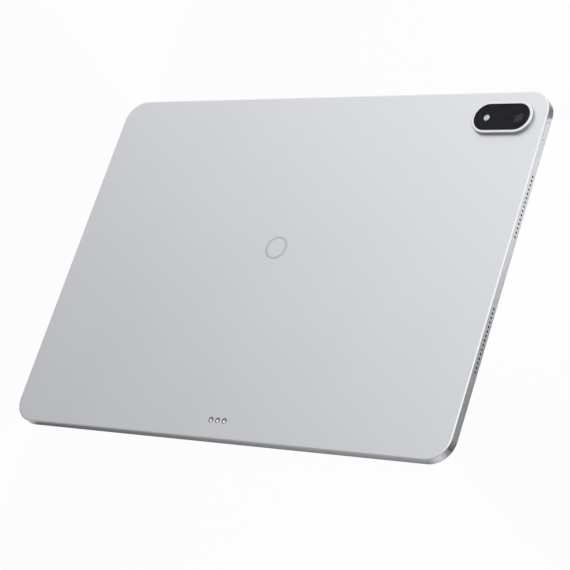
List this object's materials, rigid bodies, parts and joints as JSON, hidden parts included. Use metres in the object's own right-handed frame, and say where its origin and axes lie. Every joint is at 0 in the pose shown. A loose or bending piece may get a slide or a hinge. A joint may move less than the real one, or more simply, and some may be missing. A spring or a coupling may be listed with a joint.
{
  "type": "tablet computer",
  "caption": "Slim rectangular tablet computer with a metal back, glass screen, raised corner camera, edge keys, speaker grilles and dock contacts.",
  "frame": {"origin": "centre of the cover glass's outer face, on which the tablet lies", "axes": "+X along the long side towards the power key, +Y towards the side with the volume key, +Z out of the metal back; the screen looks along -Z"},
  "size_m": [0.2899, 0.21, 0.0079],
  "materials": {
    "housing_aluminium": "fine bead-blasted and anodised",
    "polished_metal": "polished",
    "bezel_metal": "anodised, with a bright turned edge",
    "key_aluminium": "fine bead-blasted and anodised",
    "frame_polymer": "moulded, matte black",
    "cover_glass": "clear, polished",
    "camera_glass": "clear, polished",
    "black_ink": "printed black",
    "adhesive": "foam tape and clear bond",
    "display_cell": "thin glass sandwich, dark when off",
    "optical_film": "translucent sheets",
    "light_guide_acrylic": "clear acrylic",
    "sheet_steel": "stamped sheet",
    "stainless": "drawn and deburred",
    "led_package": "white package with yellow phosphor",
    "circuit_board": "solder mask",
    "chips": "moulded epoxy",
    "polyimide": "flexible circuit",
    "graphite": "pressed graphite on copper",
    "battery_pouch": "laminated foil, wrapped",
    "black_polymer": "moulded",
    "seal_rubber": "silicone",
    "light_pipe": "milky, moulded",
    "gold_contact": "gold plated",
    "magnet": "nickel plated",
    "ferrite": "sintered ferrite with wire",
    "diaphragm": "thin composite with a glued coil"
  },
  "bodies": {
    "tablet": {"antennas": "polyimide", "back_emblem": "polished_metal", "backlight_leds": "led_package", "backlight_tray": "sheet_steel", "battery_board": "circuit_board", "battery_cell_left": "battery_pouch", "battery_cell_right": "battery_pouch", "board_components": "chips", "border_mask": "black_ink", "camera_bezel": "bezel_metal", "camera_bracket": "sheet_steel", "camera_housing": "black_polymer", "camera_sensor_board": "circuit_board", "camera_window": "camera_glass", "camera_window_gasket": "black_ink", "cover_glass": "cover_glass", "display_adhesive": "adhesive", "display_flex": "polyimide", "dock_contact_holder": "black_polymer", "dock_contacts": "gold_contact", "flash_led": "led_package", "flash_lens": "light_pipe", "flex_circuits": "polyimide", "front_camera": "black_polymer", "heat_spreader": "graphite", "housing_screws": "stainless", "inner_frame": "frame_polymer", "key_brackets": "sheet_steel", "key_flex": "polyimide", "key_switches": "chips", "lcd_cell": "display_cell", "light_guide": "light_guide_acrylic", "magnets": "magnet", "main_board": "circuit_board", "optical_films": "optical_film", "panel_driver_board": "circuit_board", "pen_charging_coil": "ferrite", "power_switch_dome": "stainless", "rear_housing": "housing_aluminium", "shield_cans": "sheet_steel", "speaker_box_left_lower": "black_polymer", "speaker_box_left_upper": "black_polymer", "speaker_box_right_lower": "black_polymer", "speaker_box_right_upper": "black_polymer", "speaker_magnets": "magnet", "speaker_meshes": "stainless", "speaker_surrounds": "seal_rubber", "usb_board": "circuit_board", "usb_seal": "seal_rubber", "usb_shell": "stainless", "usb_tongue": "black_polymer", "volume_switch_domes": "stainless"},
    "power_key": {"power_key": "key_aluminium"},
    "volume_key": {"volume_key": "key_aluminium"},
    "rear_camera_lens": {"camera_barrel": "black_polymer", "camera_lens_glass": "camera_glass"},
    "diaphragm_right_upper": {"speaker_diaphragm_right_upper": "diaphragm"},
    "diaphragm_right_lower": {"speaker_diaphragm_right_lower": "diaphragm"},
    "diaphragm_left_upper": {"speaker_diaphragm_left_upper": "diaphragm"},
    "diaphragm_left_lower": {"speaker_diaphragm_left_lower": "diaphragm"}
  },
  "joints": [
    {"name": "power_key_press", "type": "slide", "parent": "tablet", "child": "power_key", "axis": [-1, 0, 0], "range_m": [0, 0.0002], "stiffness_N_per_m": 8000, "deforming": ["power_switch_dome"]},
    {"name": "volume_key_rock", "type": "hinge", "parent": "tablet", "child": "volume_key", "pos_m": [0.1088, 0.10333, 0.0028], "axis": [0, 0, 1], "range_deg": [-1, 1], "stiffness_Nm_per_rad": 0.8, "deforming": ["volume_switch_domes"]},
    {"name": "rear_lens_focus", "type": "slide", "parent": "tablet", "child": "rear_camera_lens", "axis": [0, 0, 1], "range_m": [0, 0.0003], "stiffness_N_per_m": 200},
    {"name": "diaphragm_right_upper_travel", "type": "slide", "parent": "tablet", "child": "diaphragm_right_upper", "axis": [0, 0, 1], "range_m": [-0.00035, 0.00035], "stiffness_N_per_m": 800, "deforming": ["speaker_surrounds"]},
    {"name": "diaphragm_right_lower_travel", "type": "slide", "parent": "tablet", "child": "diaphragm_right_lower", "axis": [0, 0, 1], "range_m": [-0.00035, 0.00035], "stiffness_N_per_m": 800, "deforming": ["speaker_surrounds"]},
    {"name": "diaphragm_left_upper_travel", "type": "slide", "parent": "tablet", "child": "diaphragm_left_upper", "axis": [0, 0, 1], "range_m": [-0.00035, 0.00035], "stiffness_N_per_m": 800, "deforming": ["speaker_surrounds"]},
    {"name": "diaphragm_left_lower_travel", "type": "slide", "parent": "tablet", "child": "diaphragm_left_lower", "axis": [0, 0, 1], "range_m": [-0.00035, 0.00035], "stiffness_N_per_m": 800, "deforming": ["speaker_surrounds"]}
  ]
}
